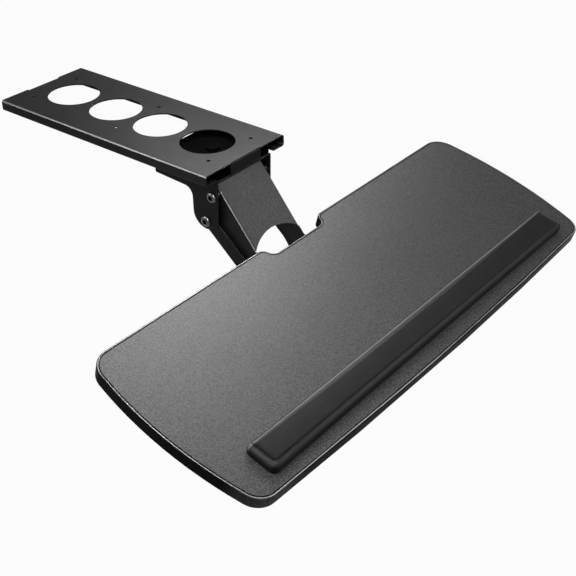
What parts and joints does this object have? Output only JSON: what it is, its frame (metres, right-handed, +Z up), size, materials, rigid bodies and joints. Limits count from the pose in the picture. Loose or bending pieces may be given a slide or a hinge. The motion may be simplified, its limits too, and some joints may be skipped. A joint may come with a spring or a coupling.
{
  "type": "keyboard tray under desk",
  "caption": "Keyboard tray with a wrist rest on a tilting parallel arm, which swivels and slides on a steel track under a desk.",
  "frame": {"origin": "middle of the track's top face, which lies against the underside of the desk", "axes": "+X to the user's right, +Y towards the back of the desk, +Z up"},
  "size_m": [0.83, 0.8069, 0.2078],
  "materials": {
    "track_paint": "fine matt powder coat",
    "black_paint": "satin powder coat",
    "arm_paint": "satin powder coat",
    "buffer_rubber": "matt",
    "black_nylon": "moulded, satin",
    "zinc_plate": "satin zinc plate",
    "black_screw": "black oxide",
    "board_core": "black backing sheet on fibreboard",
    "top_laminate": "fine pebbled laminate",
    "edge_plastic": "satin",
    "rest_base_plastic": "satin",
    "rest_skin": "smooth leatherette"
  },
  "bodies": {
    "track": {"track_plate": "track_paint", "stop_buffer_front": "buffer_rubber", "stop_buffer_rear": "buffer_rubber", "runner_strip_left": "black_nylon", "runner_strip_right": "black_nylon"},
    "carriage": {"carriage_plate": "black_paint", "carriage_glide_front_left": "black_nylon", "carriage_glide_front_right": "black_nylon", "carriage_glide_rear_left": "black_nylon", "carriage_glide_rear_right": "black_nylon", "swivel_disc": "black_nylon", "swivel_bolt": "black_screw", "swivel_washer": "black_screw", "swivel_nut": "black_screw"},
    "bracket": {"swivel_bracket": "black_paint", "upper_pivot_bolt_left": "zinc_plate", "upper_pivot_bolt_right": "zinc_plate", "upper_pivot_bush_left": "black_nylon", "upper_pivot_bush_right": "black_nylon", "upper_pivot_nut_left": "zinc_plate", "upper_pivot_nut_right": "zinc_plate", "lower_pivot_bolt_left": "zinc_plate", "lower_pivot_bolt_right": "zinc_plate", "lower_pivot_washer_left": "zinc_plate", "lower_pivot_washer_right": "zinc_plate", "lower_pivot_nut_left": "zinc_plate", "lower_pivot_nut_right": "zinc_plate"},
    "arm": {"upper_arm": "arm_paint"},
    "links": {"lower_link_left": "black_paint", "lower_link_right": "black_paint"},
    "coupler": {"front_link": "black_paint", "front_lower_bolt_left": "zinc_plate", "front_lower_bolt_right": "zinc_plate", "front_lower_spacer_left": "zinc_plate", "front_lower_spacer_right": "zinc_plate", "front_lower_nut_left": "zinc_plate", "front_lower_nut_right": "zinc_plate", "clamp_rod": "zinc_plate", "clamp_sleeve": "zinc_plate", "clamp_washer_left": "zinc_plate", "clamp_washer_right": "zinc_plate"},
    "knob": {"clamp_knob": "black_nylon"},
    "tray": {"tilt_bracket": "black_paint", "tray_board": "board_core", "top_sheet": "top_laminate", "edge_band": "edge_plastic", "rest_base": "rest_base_plastic", "rest_pad": "rest_skin", "plate_screw_1": "black_screw", "plate_screw_2": "black_screw", "plate_screw_3": "black_screw", "plate_screw_4": "black_screw", "plate_screw_5": "black_screw", "plate_screw_6": "black_screw", "rest_screw_1": "black_screw", "rest_screw_2": "black_screw", "rest_screw_3": "black_screw", "rest_screw_4": "black_screw"}
  },
  "joints": [
    {"name": "track_slide", "type": "slide", "parent": "track", "child": "carriage", "axis": [0, 1, 0], "range_m": [0, 0.3124]},
    {"name": "swivel", "type": "hinge", "parent": "carriage", "child": "bracket", "pos_m": [0, -0.1565, -0.021], "axis": [0, 0, 1], "range_deg": [-90, 90]},
    {"name": "lift", "type": "hinge", "parent": "bracket", "child": "arm", "pos_m": [0, -0.2065, -0.0488], "axis": [-1, 0, 0], "range_deg": [-15.5, 24]},
    {"name": "link_swing", "type": "hinge", "parent": "bracket", "child": "links", "pos_m": [0, -0.1922, -0.0928], "axis": [-1, 0, 0], "range_deg": [-16, 24.5]},
    {"name": "coupler_level", "type": "hinge", "parent": "arm", "child": "coupler", "pos_m": [0, -0.30425, -0.1518], "axis": [-1, 0, 0], "range_deg": [-24.5, 16]},
    {"name": "tilt", "type": "hinge", "parent": "coupler", "child": "tray", "pos_m": [0, -0.30425, -0.1518], "axis": [-1, 0, 0], "range_deg": [0, 20.7]},
    {"name": "knob_turn", "type": "hinge", "parent": "coupler", "child": "knob", "pos_m": [0, -0.30425, -0.1518], "axis": [1, 0, 0], "range_deg": [0, 360]}
  ],
  "couplings": [
    {"joint": "link_swing", "follows": "lift", "ratio": 1},
    {"joint": "coupler_level", "follows": "lift", "ratio": -1}
  ]
}
